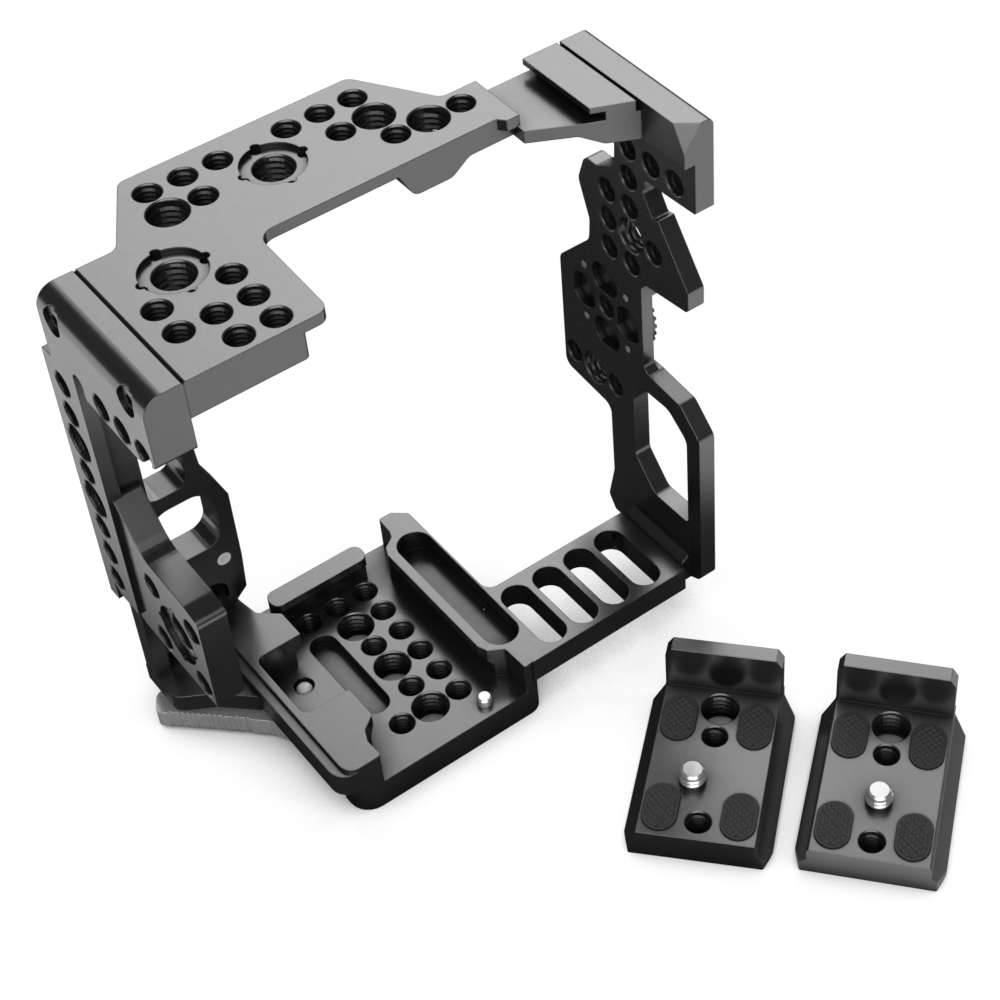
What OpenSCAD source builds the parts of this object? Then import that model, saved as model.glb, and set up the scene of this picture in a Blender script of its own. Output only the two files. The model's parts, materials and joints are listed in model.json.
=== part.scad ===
// Camera cage: four machined members round a camera body, a quick-release receiver with a
// cam lever and a lock pin in the base, and two quick-release plates that lie beside it.
// Millimetres. Origin on the axis of the middle tripod socket, at the base's underside.
// +X to the cage's right, +Y to its back, +Z up.

/* [Cage] */
// Height from the underside of the base to the top face
cage_h = 166.5; // [160:0.5:180]
// Socket axis to the left outer face
left_reach = 62.1; // [60:0.1:68]
// Socket axis to the right outer face
right_reach = 85.6; // [84:0.1:96]
// Socket axis to the front ends of the top and side members
front_reach = 32; // [31.5:0.1:36]
// Spacing of the accessory holes
hole_pitch = 9; // [8.8:0.05:9.2]

/* [Threads] */
// Radius of the 1/4 inch threads
quarter_r = 3.2; // [2.6:0.05:3.4]
// Radius of the 3/8 inch threads
three_eighth_r = 4.8; // [4:0.05:5]
// Chamfer at the mouth of a thread
mouth_c = 0.35; // [0.1:0.05:0.5]
// Radius of the round recess at a locating thread
locator_r = 7.8; // [7:0.1:8]
// Depth of the recess
locator_d = 1.3; // [0.3:0.1:1.5]
// Radius of the pin holes at the recess's edge
locator_pin_r = 1.2; // [0.8:0.1:1.4]

/* [Top plate] */
// Thickness of the left arm
arm_t = 10; // [9.5:0.1:11]
// Thickness of the bridge's front and back edges
bridge_t = 3; // [2.6:0.1:5]
// Socket axis to the inner edge of the left arm
arm_in = 17.1; // [16:0.1:20]
// Back edge of the bridge
bridge_back = 34.5; // [33:0.1:40]
// Front edge of the bridge, behind the socket axis when positive
bridge_front = -1.3; // [-3:0.1:0]
// Back ends of the side members
member_back = 14; // [13.5:0.1:16]

/* [Left frame] */
// Thickness of the left wall
left_t = 10; // [9:0.1:11]
// Depth of the top block below the top face
top_block_h = 22; // [20:0.1:26]
// Radius of the top block's outer edge
top_edge_r = 5; // [2:0.1:5.5]
// Width of the perforated strip along Y
strip_w = 15.3; // [14:0.1:18]
// Front edge of the perforated strip
strip_front = 3.4; // [2:0.1:5]
// Top face to the underside of the perforated strip
strip_h = 94.5; // [92.5:0.5:96.5]
// Front face of the back flange
flange_front = 37; // [36:0.1:39]
// Thickness of the back flange
flange_t = 9; // [7:0.1:10]
// Top of the back flange
flange_top = 104; // [100:0.5:110]
// Underside of the flange's upper window
flange_sill = 68.8; // [66:0.1:72]
// Thickness of the lower block
lug_t = 7.5; // [6.5:0.1:9]
// Height of the lower block
lug_h = 28.6; // [28:0.1:31]
// Centre height of the lower block's locating thread
lug_z = 81; // [79:0.1:84]
// Thickness of the foot beside the base
foot_t = 5.5; // [4:0.1:6.5]

/* [Right frame] */
// Thickness of the right plate
plate_t = 5; // [4.5:0.1:6]
// How far the plate's outer face lies inside the rail's
plate_inset = 0.5; // [0.2:0.1:0.8]
// How deep the plate's outer face is relieved round the rosette
neck_relief = 1.5; // [1:0.1:1.8]
// Right outer face to the seam with the top plate
shelf_w = 33; // [31:0.1:33.5]
// Thickness of the shelf
shelf_t = 3.5; // [3:0.1:5]
// Depth of the shelf's top below the top face
shelf_drop = 4; // [3.5:0.1:5]
// Width of the rail's top
rail_w = 8.6; // [8:0.1:9.5]
// Height of the rail
rail_h = 11; // [9:0.1:13]
// Width of the shoe's top
shoe_w = 10; // [9:0.1:11]
// Thickness of the shoe's top lip
shoe_lip_t = 1.6; // [1.2:0.1:2]
// Groove between the shoe and the rail
rail_groove = 0.9; // [0.4:0.1:1.5]
// Underside of the window in the plate
window_bottom = 32.5; // [30:0.5:36]
// Top of the window in the plate
window_top = 69; // [62:0.5:69]
// Centre height of the rosette
rosette_z = 87.5; // [86:0.1:89]
// Centre of the rosette along Y
rosette_y = 5.2; // [4.6:0.1:6]
// Outer radius of the rosette
rosette_r = 14.7; // [14.5:0.1:15]
// Thickness of the rosette with its teeth
rosette_t = 3.4; // [3:0.1:4.5]
// How deep the rosette is sunk into the relieved face
rosette_sunk = 1.5; // [0.8:0.1:1.8]

/* [Base plate] */
// Thickness of the receiver's floor
floor_t = 9; // [8.5:0.1:10]
// Top of the rib, the arm and the left housing
wall_top = 19.6; // [18.6:0.1:21]
// Clear width between the receiver's walls
receiver_w = 33.8; // [33:0.1:35]
// Undercut of the receiver's walls on each side
undercut = 2.4; // [2.2:0.1:2.6]
// Front edge of the base
base_front = 30.7; // [30:0.1:31.5]
// Right side of the base under the slotted arm
base_right = 27.7; // [27.7:0.1:29]
// Outer side of the rib
rib_out = 30.3; // [29:0.1:32]
// Width of the slotted arm along Y
slotted_w = 28; // [26.8:0.1:30]
// Thickness of the slotted arm
slotted_t = 7.7; // [6.5:0.1:9]
// Width of each slot
slot_w = 8.6; // [7:0.1:9]
// Length of each slot
slot_len = 23.8; // [20:0.1:24]
// Spacing of the slots
slot_pitch = 10.5; // [10:0.1:10.6]
// Radius of the domed pin in the left wall's recess
dome_pin_r = 2.1; // [1.5:0.05:2.4]

/* [Lever] */
// Thickness of the lever
lever_t = 5.5; // [4.5:0.1:5.6]
// Clearance above and below the lever
lever_gap = 0.5; // [0.3:0.05:0.8]
// Length of the lever from its pivot axis, along its bend
lever_len = 53; // [48:0.5:56]
// Radius of the cam
cam_r = 5; // [4.5:0.1:5]
// How far the cam's centre lies off the pivot
cam_throw = 1; // [0.5:0.05:1.1]
// Radius of the pivot screw's shank
pivot_r = 2; // [1.5:0.05:2.2]
// Clearance between the pivot's shank and its bores
run_gap = 0.05; // [0.03:0.01:0.08]

/* [Quick-release plates] */
// Width of a plate at its underside
qr_w = 38; // [37:0.1:38]
// Width of a plate at its top
qr_top_w = 31.2; // [30:0.1:32]
// Length of a plate, with its stop wall
qr_len = 52.7; // [50:0.1:54]
// Thickness of a plate
qr_t = 9; // [8:0.1:10]
// Height of the stop wall above the plate
qr_wall_h = 14; // [8:0.1:15]
// Thickness of the stop wall
qr_wall_t = 4.3; // [3:0.1:5.5]
// Width of the stop wall
qr_wall_w = 30.8; // [26:0.1:31.5]
// Cage's front to the middle of the farther plate
plate_reach = 79.2; // [76:0.1:90]
// Length of a rubber pad
pad_len = 14.2; // [11:0.1:14.6]
// Width of a rubber pad
pad_w = 8.8; // [6:0.1:9]
// How far a rubber pad stands above the plate
pad_up = 0.5; // [0.2:0.1:1]
// How deep a rubber pad is set into the plate
pad_in = 1; // [0.6:0.1:1.5]
// Radius of the camera screw's thread
stud_r = 3.1; // [2.8:0.05:3.15]
// How far the camera screw stands above the plate
stud_up = 4.5; // [3:0.1:5.5]

/* [Screws] */
// Radius of the frame screws' shanks
screw_r = 2; // [1.5:0.05:2.2]
// Radius of the frame screws' heads
screw_head_r = 3.4; // [3:0.05:3.5]
// Height of the frame screws' heads
screw_head_h = 3.6; // [2.5:0.1:4]
// Clearance round a screw's head or shank
screw_gap = 0.1; // [0.05:0.01:0.15]

/* [Hidden] */
$fn = 48;
eps = 0.01;
CORNER_STEPS = 6;

black = [0.07, 0.07, 0.075];
dark = [0.03, 0.03, 0.03];
silver = [0.8, 0.8, 0.82];

left_out = -left_reach;
left_seam = left_out + left_t;
plate_out = right_reach - plate_inset;
right_in = plate_out - plate_t;
neck_x = plate_out - neck_relief;
rosette_x = neck_x - rosette_sunk;
right_seam = right_reach - shelf_w;
front = -front_reach;
half_rec = receiver_w / 2;
rail_x = right_reach - rail_w;
shoe_right = rail_x - rail_groove;
shoe_left = shoe_right - shoe_w;
slotted_bottom = wall_top - slotted_t;
slotted_front = -base_front;
slotted_back = slotted_front + slotted_w;
mouth_x = 23;
foot_seam = right_in - 3.9;
foot_bottom = floor_t + 1.5;
strip_bottom = cage_h - strip_h;
strip_back = strip_front + strip_w;
strip_y = strip_front + strip_w / 2 + 0.6;
flange_back = flange_front + flange_t;
lug_front = -29.6;
lug_y = lug_front + 13.6;
lug_bottom = lug_z - lug_h / 2 + 1.1;
lug_top = lug_bottom + lug_h;
corner_x = left_out + 9.1;
corner_front = flange_front - 6;
foot_wall_t = 4.5;
housing_left = -35.4;
rib_pocket_x = (half_rec + rib_out) / 2 + 1.15;
pin_x = 11.9;
pin_y = -26;
pin_r = 2.05;
pin_up = 2.6;
pin_room_r = pin_r + 1.5;
pin_collar_z = floor_t - 3.3;
pivot_x = -24.6;
pivot_y = -13;
block_left = -32.8;
block_bottom = floor_t + 2;
dome_x = -22.1;
dome_y = 9.3;
dome_bottom = 2;
lever_bottom = 1 + lever_gap;
lever_top = lever_bottom + lever_t;
lever_room_top = lever_top + lever_gap;
cam_top = wall_top - 6;
cam_room_r = cam_r + cam_throw + 0.4;

// ---------- outlines ----------

function xy(p) = [p[0], p[1]];
function unit(v) = v / norm(v);

// The points of one corner [x, y, r] rounded to r, between its neighbours a and b
function corner(a, c, b) =
  c[2] == 0 ? [xy(c)] :
  let (
    u = unit(xy(a) - xy(c)),
    v = unit(xy(b) - xy(c)),
    half = acos(u * v) / 2,
    centre = xy(c) + unit(u + v) * c[2] / sin(half),
    from = xy(c) + u * c[2] / tan(half) - centre,
    to = xy(c) + v * c[2] / tan(half) - centre,
    a0 = atan2(from[1], from[0]),
    turn = atan2(from[0] * to[1] - from[1] * to[0], from * to)
  )
  [for (i = [0:CORNER_STEPS]) centre + c[2] * [cos(a0 + turn * i / CORNER_STEPS), sin(a0 + turn * i / CORNER_STEPS)]];

function rounded(p) =
  let (n = len(p))
  [for (i = [0:n - 1]) each corner(p[(i + n - 1) % n], p[i], p[(i + 1) % n])];

module outline(p) {
  polygon(rounded(p));
}

// An outline in Y and Z, extruded along X from x0 to x1
module along_x(x0, x1) {
  translate([x0, 0, 0]) rotate([90, 0, 90]) linear_extrude(x1 - x0) children();
}

// An outline in X and Z, extruded along Y from y0 to y1
module along_y(y0, y1) {
  translate([0, y1, 0]) rotate([90, 0, 0]) linear_extrude(y1 - y0) children();
}

// An outline in X and Y, extruded along Z from z0 to z1
module along_z(z0, z1) {
  translate([0, 0, z0]) linear_extrude(z1 - z0) children();
}

module obround(length, width) {
  half = (length - width) / 2;
  translate([-half, 0]) circle(d = width);
  translate([half, 0]) circle(d = width);
  square([2 * half, width], center = true);
}

// ---------- holes ----------

// A threaded hole from z = 0 down, with its chamfered mouth at z = 0
module thread_hole(r, depth) {
  translate([0, 0, -depth]) cylinder(r = r, h = depth + 1);
  translate([0, 0, -mouth_c]) cylinder(r1 = r, r2 = r + mouth_c + eps, h = mouth_c + eps);
}

module quarter_holes(cells, origin, depth) {
  for (c = cells) translate([origin[0] + c[0] * hole_pitch, origin[1] + c[1] * hole_pitch, 0])
    thread_hole(quarter_r, depth);
}

module three_eighth_holes(cells, origin, depth) {
  for (c = cells) translate([origin[0] + c[0] * hole_pitch, origin[1] + c[1] * hole_pitch, 0])
    thread_hole(three_eighth_r, depth);
}

// A 3/8 inch thread in the floor of a round recess with four pin holes at its edge
module locating_hole(depth) {
  translate([0, 0, -locator_d]) {
    thread_hole(three_eighth_r, depth);
    cylinder(r = locator_r, h = locator_d + 1);
  }
  for (k = [0:3]) rotate([0, 0, 90 * k]) translate([locator_r - 0.1, 0, -locator_d - 1.5])
    cylinder(r = locator_pin_r, h = 4, $fn = 24);
}

// Turns a shape whose mouth is at z = 0 and faces up so that it faces -X
module facing_left() {
  rotate([0, -90, 0]) rotate([0, 0, 90]) children();
}

// ---------- screws ----------

// A cap screw along -Z from the underside of its head at z = 0, with a hex socket
module cap_screw(r, length, head_r, head_h) {
  difference() {
    union() {
      translate([0, 0, -length]) cylinder(r = r, h = length + eps);
      cylinder(r = head_r, h = head_h);
    }
    translate([0, 0, head_h - 1.6]) cylinder(r = head_r * 0.5, h = 2, $fn = 6);
  }
}

// The room that such a screw takes: its shank's bore and its head's counterbore, open upwards
module screw_room(r, length, head_r, open) {
  translate([0, 0, -length]) cylinder(r = r + screw_gap, h = length + eps);
  cylinder(r = head_r + screw_gap, h = open);
}

// ---------- top plate ----------

top_left_screw_ys = [-24.3, 7.6];
top_left_screw_z = cage_h - arm_t / 2;
top_left_len = 14;

// The shelf's tongue laps under the plate's end, behind a skirt
lap_w = 6.6;
lap_skirt = 1.6;
lap_gap = 0.05;
end_t = 6.4;
lap_screw_r = 1.25;
lap_head_r = 2.1;
lap_head_h = 1.8;
lap_screw_ys = [bridge_front + 4, member_back - 2.4];
lap_screw_len = 4.6;

bridge_origin = [-27, 27];
beam_front = 8.5;
beam_back = bridge_back - 3.9;

// A shallow V along the top of the seam between the left frame and the plate
module seam_cut() {
  along_y(front - 1, member_back + 1) polygon([
    [left_seam - 0.5, cage_h + eps], [left_seam, cage_h - 0.5], [left_seam + 0.5, cage_h + eps]
  ]);
}

module at_top_left_screws(i) {
  translate([left_out + screw_head_h + 1, top_left_screw_ys[i], top_left_screw_z]) facing_left() children();
}

// Heads in the tongue's underside
module at_top_right_screws(i) {
  translate([right_seam - lap_w + 3.9, lap_screw_ys[i], cage_h - shelf_drop - shelf_t + lap_head_h])
    rotate([180, 0, 0]) children();
}

module lap_plan(gap) {
  translate([right_seam - lap_w - gap, bridge_front + lap_skirt - gap])
    square([lap_w + 2 * gap + 1, member_back - bridge_front - lap_skirt + 2 * gap]);
}

module top_outline() {
  outline([
    [left_seam, front, 0],
    [-arm_in, front, 3],
    [-arm_in + 1.1, bridge_front, 4],
    [right_seam - 5, bridge_front, 0],
    [right_seam - 3.4, bridge_front - 2, 0.8],
    [right_seam, bridge_front - 2, 0],
    [right_seam, member_back, 0],
    [43, member_back, 3],
    [30.4, bridge_back, 3],
    [-30.4, bridge_back, 3],
    [-42, member_back, 3],
    [left_seam, member_back, 0]
  ]);
}

module top_plate() {
  color(black) difference() {
    union() {
      along_z(cage_h - bridge_t, cage_h) top_outline();
      // Thick block of the left arm, set back from the lip
      along_z(cage_h - arm_t, cage_h - bridge_t + eps) outline([
        [left_seam, front, 0], [-arm_in - 5.9, front, 1.5], [-arm_in - 5.9, 10, 0], [-34, member_back, 0],
        [left_seam, member_back, 0]
      ]);
      // Beam under the bridge, set back from its front and back edges
      along_z(cage_h - arm_t, cage_h - bridge_t + eps) outline([
        [-40, beam_front, 0], [33, beam_front, 0], [33, 24, 2], [31.4, beam_back + 0.8, 2.5],
        [22.4, beam_back + 0.8, 0.5], [21.4, beam_back, 0], [-21.4, beam_back, 0],
        [-22.4, beam_back + 0.8, 0.5], [-31.6, beam_back + 0.8, 3], [-40, beam_front + 3.5, 0]
      ]);
      // Lug under the bridge and the shallower run to the seam
      along_y(bridge_front, member_back) outline([
        [20.5, cage_h - bridge_t + eps, 0], [24, cage_h - 10, 3], [34.5, cage_h - 10, 4],
        [39.5, cage_h - end_t, 3], [right_seam, cage_h - end_t, 0], [right_seam, cage_h - bridge_t + eps, 0]
      ]);
    }
    translate([0, 0, cage_h]) {
      quarter_holes([
        [0, 0], [1, 0], [2, 0], [4, 0], [5, 0], [6, 0], [1, -1], [5, -1], [6, -2], [8, -2],
        [0, -4], [0, -5], [0, -6], [-1, -5], [-1, -6], [-2, -4], [-2, -5]
      ], bridge_origin, arm_t + 1);
      three_eighth_holes([[0, -1], [6, -1], [7, -2]], bridge_origin, arm_t + 1);
      for (c = [[-1, -3], [3, -1]])
        translate([bridge_origin[0] + c[0] * hole_pitch, bridge_origin[1] + c[1] * hole_pitch, 0])
          locating_hole(arm_t + 1);
    }
    seam_cut();
    for (i = [0, 1]) {
      at_top_left_screws(i) screw_room(screw_r, top_left_len, screw_head_r, 1);
      at_top_right_screws(i) screw_room(lap_screw_r, lap_screw_len, lap_head_r, 1);
    }
    along_z(cage_h - end_t - 1, cage_h - shelf_drop + lap_gap) intersection() {
      lap_plan(lap_gap);
      translate([right_seam - 20, front]) square([20.5, front_reach + member_back + 1]);
    }
  }
}

// ---------- left frame ----------

left_holes_z = cage_h - 25.7;

module left_profile() {
  // Top block, seen from the left: its underside rises to the front
  outline([
    [front, cage_h, 0], [member_back, cage_h, 0], [member_back, cage_h - 18.9, 0],
    [strip_back, cage_h - 18.9, 1], [strip_back, strip_bottom + 5, 2], [strip_back - 7, strip_bottom, 1],
    [strip_front, strip_bottom, 0], [strip_front, cage_h - 16.6, 2.1], [strip_front - 4.4, cage_h - 14.6, 2.1],
    [strip_front - 4.4, cage_h - top_block_h + 1, 1], [-23, cage_h - top_block_h, 1], [front, cage_h - 18.5, 1]
  ]);
}

// Room outside the rounded outer edge of the top block
module top_edge_cut() {
  along_y(front - 1, member_back + 1) difference() {
    translate([left_out - 1, cage_h - top_edge_r]) square([top_edge_r + 1, top_edge_r + 1]);
    translate([left_out + top_edge_r, cage_h - top_edge_r]) circle(r = top_edge_r);
  }
}

module flange_profile() {
  // The back flange, seen from the front: X and Z
  outline([
    [corner_x + 8, foot_bottom, 0], [housing_left - 0.2, foot_bottom, 0], [housing_left - 0.2, wall_top, 0],
    [-25.2, wall_top, 0], [-20.4, wall_top + 4.4, 1], [-19.8, 36, 2], [-19.8, 59, 2], [-25.6, 72, 6],
    [-26.4, 82, 8], [-25.2, 91, 4], [-29, flange_top - 4, 4], [corner_x + 8, flange_top, 0]
  ]);
}

module flange_windows() {
  along_y(flange_front - 1, flange_back + 1) {
    outline([
      [-42.6, 44, 6], [-24, 44, 5], [-24, 56, 6], [-27, flange_sill - 4.8, 5], [-42.6, flange_sill - 4.8, 6]
    ]);
    outline([
      [-43, flange_sill, 5], [-31, flange_sill, 3], [-29.4, flange_sill + 5.2, 4],
      [-30, flange_top - 9, 5], [-43, flange_top - 9, 5]
    ]);
  }
}

module left_frame() {
  color(black) difference() {
    union() {
      difference() {
        along_x(left_out, left_seam) left_profile();
        // The strip's inner layer is set back
        translate([left_out + 3.5, strip_front - 1, strip_bottom - 1])
          cube([left_t, 3, cage_h - 17 - strip_bottom]);
        top_edge_cut();
        seam_cut();
      }
      // Lower block and the web that joins it to the strip
      along_x(left_out + 1.2, left_out + 1.2 + lug_t) outline([
        [lug_front, lug_bottom, 0.8], [strip_front + 1, lug_bottom + 0.4, 4], [strip_front + 5, lug_bottom + 6, 0],
        [strip_front + 5, lug_top + 14.8, 0], [strip_front + 0.5, lug_top + 13.8, 3], [-6, lug_top + 2.3, 8],
        [-24, lug_top + 1.4, 4], [lug_front, lug_top, 2]
      ]);
      // Slanted wall from the strip to the flange, and the corner wall below it
      along_z(strip_bottom - 4, flange_top) outline([
        [left_out, strip_back - 4, 0], [left_out, strip_back, 0], [corner_x, flange_front - 1, 3],
        [corner_x + 8, flange_back, 3], [corner_x + 10, flange_back, 0], [corner_x + 8, flange_front, 0],
        [left_out + 5.5, strip_back - 4, 0]
      ]);
      along_z(foot_bottom, strip_bottom) outline([
        [corner_x, corner_front, 0], [corner_x, flange_front, 3], [corner_x + 8, flange_back, 3],
        [corner_x + 10, flange_back, 0], [corner_x + 10, flange_front, 0],
        [corner_x + foot_wall_t, flange_front, 1.5], [corner_x + foot_wall_t, corner_front, 0]
      ]);
      along_y(flange_front, flange_back) flange_profile();
      // Foot slab beside the base
      along_z(foot_bottom, foot_bottom + foot_t) outline([
        [corner_x, flange_front, 0], [corner_x, 22, 4], [-44, 16.6, 6], [housing_left - 0.05, 8, 0],
        [housing_left - 0.05, flange_back - 1, 0], [corner_x + 10, flange_back - 1, 0]
      ]);
    }
    flange_windows();
    // Strip threads
    for (k = [0:7]) translate([left_out, strip_y, left_holes_z - k * hole_pitch]) facing_left()
      thread_hole(k == 2 || k == 4 ? three_eighth_r : quarter_r, left_t + 1);
    // Threads along the block's lower edge
    for (k = [0:2]) translate([left_out, front + 5 + k * hole_pitch, cage_h - 17.7]) facing_left()
      thread_hole(quarter_r, left_t + 1);
    // Locating thread and the four threads round it
    translate([left_out + 1.2, lug_y, lug_z]) facing_left() {
      locating_hole(lug_t + 1);
      for (i = [-1, 1], j = [-1, 1]) translate([i * hole_pitch, j * hole_pitch, 0])
        thread_hole(quarter_r, lug_t + 1);
    }
    for (i = [0, 1]) at_top_left_screws(i) screw_room(screw_r, top_left_len, screw_head_r, 12);
    // The set screw's blind hole, and the arched pocket of the screw above the foot
    at_set_screw() translate([0, 0, -set_screw_len]) cylinder(r = set_screw_r + 0.05, h = set_screw_len + 1);
    at_flange_screw() {
      translate([0, 0, -4.5]) cylinder(r = screw_r + screw_gap, h = 5);
      intersection() {
        cylinder(r = flange_pocket_r, h = 8);
        along_y(-9, 9) {
          translate([0, 2.6]) circle(r = flange_pocket_r);
          translate([-flange_pocket_r, 0]) square([2 * flange_pocket_r, 2.6]);
        }
      }
    }
    at_left_foot_screw() screw_room(screw_r, foot_screw_len, foot_head_r, 12);
    // Two threads through the flange's outer end, clear of the foot slab
    for (k = [0, 1])
      translate([corner_x + foot_wall_t + 2, flange_front, foot_bottom + foot_t + quarter_r + 0.3 + k * hole_pitch])
        rotate([90, 0, 0]) thread_hole(quarter_r, flange_t + 1);
  }
}

flange_pocket_r = screw_head_r + 0.9;
set_screw_r = 2;
set_screw_len = 6;

module at_set_screw() {
  translate([-24.9, flange_front, 37.6]) rotate([90, 0, 0]) children();
}

flange_screw_x = -29.8;
flange_screw_y = flange_front + 1.2;
flange_screw_len = 7.5;

module at_flange_screw() {
  translate([flange_screw_x, flange_screw_y, wall_top + 4]) children();
}

foot_screw_len = 17;
foot_head_r = screw_head_r - 0.8;

module at_left_foot_screw() {
  translate([corner_x + 10, flange_front + 4, foot_bottom + foot_t / 2]) facing_left() children();
}

// ---------- right frame ----------

plate_origin = [-6.6, cage_h - 21];

module right_profile() {
  outline([
    [front - 0.6, cage_h, 0], [front - 0.6, cage_h - 25.7, 0.8], [-17.6, cage_h - 26.6, 1],
    [-13.2, cage_h - 26.8, 1.2], [-12.2, cage_h - 31, 2], [-15.9, cage_h - 37.2, 1],
    [-18, cage_h - 36.5, 0.5], [-29.1, cage_h - 52.4, 1.5], [-29, cage_h - 58.5, 1.5],
    [-10.2, cage_h - 60.7, 3], [-10.1, 75.6, 3],
    [-25.1, 73.9, 3], [front - 0.6, 66.5, 3], [front - 0.6, slotted_bottom + 2, 3], [-28, slotted_bottom, 1],
    [5.4, slotted_bottom, 1], [8.1, 16.3, 2], [5.1, 28, 3], [5.1, 52.3, 3],
    [25, 54.5, 3], [24.6, 93, 4], [11, cage_h - 60, 5], [10.3, cage_h - 53, 4],
    [14.2, cage_h - 42, 4], [11, cage_h - 33.5, 3], [6.2, cage_h - 33.6, 3], [-1.2, cage_h - 29.4, 4],
    [-1.7, cage_h - 21.5, 3], [member_back, cage_h - rail_h, 3], [member_back, cage_h, 0]
  ]);
}

module window_profile() {
  outline([
    [-27.4, window_bottom, 1.5], [-13, window_bottom, 3], [-5, window_bottom + 9, 3],
    [-5, window_top - 6, 4], [-9, window_top, 3], [-20, window_top, 5], [-27.4, window_top - 6, 4]
  ]);
}

module shoe_profile() {
  // X and Z of the shelf, the shoe with its undercut slot, and the rail
  top = cage_h;
  shelf = cage_h - shelf_drop;
  outline([
    [right_seam, shelf, 0], [shoe_left + 3.4, shelf, 0], [shoe_left + 3.4, top - shoe_lip_t, 0],
    [shoe_left, top - shoe_lip_t, 0], [shoe_left, top, 0], [shoe_right, top, 0], [shoe_right, top - 3, 0],
    [rail_x, top - 3, 0], [rail_x, top, 0], [right_reach, top, 2], [right_reach, top - rail_h, 0],
    [right_in + eps, top - rail_h, 0], [shoe_right, top - rail_h, 1], [shoe_left + 3, top - 10.6, 2],
    [shoe_left - 2.5, shelf - shelf_t, 3], [right_seam, shelf - shelf_t, 0]
  ]);
}

// The plan of the shelf, shoe and rail: a slanting front edge up to the rail
module shelf_plan() {
  outline([
    [right_seam, bridge_front - 3.2, 0], [shoe_left - 1, -11.4, 2], [shoe_right + 0.2, -16.5, 0.5],
    [rail_x, -16.9, 0], [rail_x, front - 0.6, 0], [right_reach, front - 0.6, 0],
    [right_reach, member_back, 0], [right_seam, member_back, 0]
  ]);
}

module right_frame() {
  color(black) difference() {
    union() {
      along_x(right_in, right_reach) right_profile();
      intersection() {
        along_y(front - 2, member_back + 1) shoe_profile();
        along_z(cage_h - 20, cage_h + 1) shelf_plan();
      }
      along_z(cage_h - shelf_drop - shelf_t, cage_h - shelf_drop) lap_plan(0);
      // Foot towards the slotted arm
      along_y(slotted_front + 2.5, slotted_back - 0.5) outline([
        [foot_seam, slotted_bottom, 0], [right_in + 1, slotted_bottom, 0], [right_in + 1, wall_top + 6, 0],
        [right_in, wall_top + 6, 0], [right_in - 0.6, wall_top + 1.4, 1.5], [foot_seam, wall_top - 1.2, 0]
      ]);
    }
    along_x(right_in - 1, right_reach + 1) window_profile();
    // The plate's end thread carries on through the tongue
    translate([bridge_origin[0] + 8 * hole_pitch, bridge_origin[1] - 2 * hole_pitch, cage_h - 10])
      cylinder(r = quarter_r + 0.2, h = 10);
    // Outer edge of the rail
    along_y(front - 2, member_back + 1) difference() {
      translate([right_reach - 2, cage_h - 2]) square(3);
      translate([right_reach - 2, cage_h - 2]) circle(r = 2);
    }
    // The rail's front inner corner, cut away on a slant
    translate([rail_x, front + 3.5, cage_h]) rotate([0, 65.7, -129.3]) translate([-10, -10, 0]) cube([20, 20, 10]);
    // Accessory threads
    translate([right_in, 0, 0]) rotate([90, 0, -90]) mirror([1, 0, 0]) {
      quarter_holes([
        [0, 0], [0, -1], [0, -2], [0, -4], [1, -2], [1, -3], [1, -4], [-1, 0], [-2, 0], [-1, -3]
      ], plate_origin, plate_t + 1);
      quarter_holes([[1.05, 0], [3.05, 0]], [-6.65, 61.4], plate_t + 1);
      three_eighth_holes([[0, -3]], plate_origin, plate_t + 1);
      three_eighth_holes([[2.05, 0]], [-6.65, 61.4], plate_t + 1);
    }
    // The plate below the rail is set in, and relieved once more round the rosette
    translate([plate_out, front - 2, 0]) cube([plate_inset + 1, member_back - front + 20, cage_h - 28]);
    translate([neck_x, front, rosette_z - 12]) cube([10, rosette_y - front, 24]);
    at_rosette() {
      translate([0, 0, rosette_sunk]) cylinder(r = rosette_r + 1.5, h = 10);
      cylinder(r = rosette_r + screw_gap, h = 10);
    }
    // Four openings behind the rosette, its centre thread and its screw holes
    translate([right_in, rosette_y, rosette_z]) rotate([0, 90, 0]) {
      for (k = [0:3]) rotate([0, 0, 90 * k]) translate([petal_off, 0, -1]) intersection() {
        cylinder(r = petal_r, h = plate_t);
        translate([-petal_w / 2, -petal_r - 1, 0]) cube([petal_w, 2 * petal_r + 2, plate_t]);
      }
      mirror([0, 0, 1]) thread_hole(quarter_r, plate_t);
      for (k = [0:3]) rotate([0, 0, 45 + 90 * k]) translate([rosette_screw_off, 0, -1])
        cylinder(r = 1 + screw_gap, h = plate_t, $fn = 24);
    }
    for (i = [0, 1]) {
      at_top_right_screws(i) screw_room(lap_screw_r, lap_screw_len, lap_head_r, lap_head_h + 1);
      at_right_foot_screws(i) screw_room(screw_r, arm_screw_len + 0.4, arm_head_r, 1);
    }
  }
}

rosette_screw_off = 12.4;
rosette_head_z = rosette_t - 2;
tooth_in_r = 9;
tooth_h = 0.75;
petal_off = 9.2;
petal_r = 5.3;
petal_w = 8.8;

module at_rosette() {
  translate([rosette_x, rosette_y, rosette_z]) rotate([0, 90, 0]) children();
}

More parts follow.
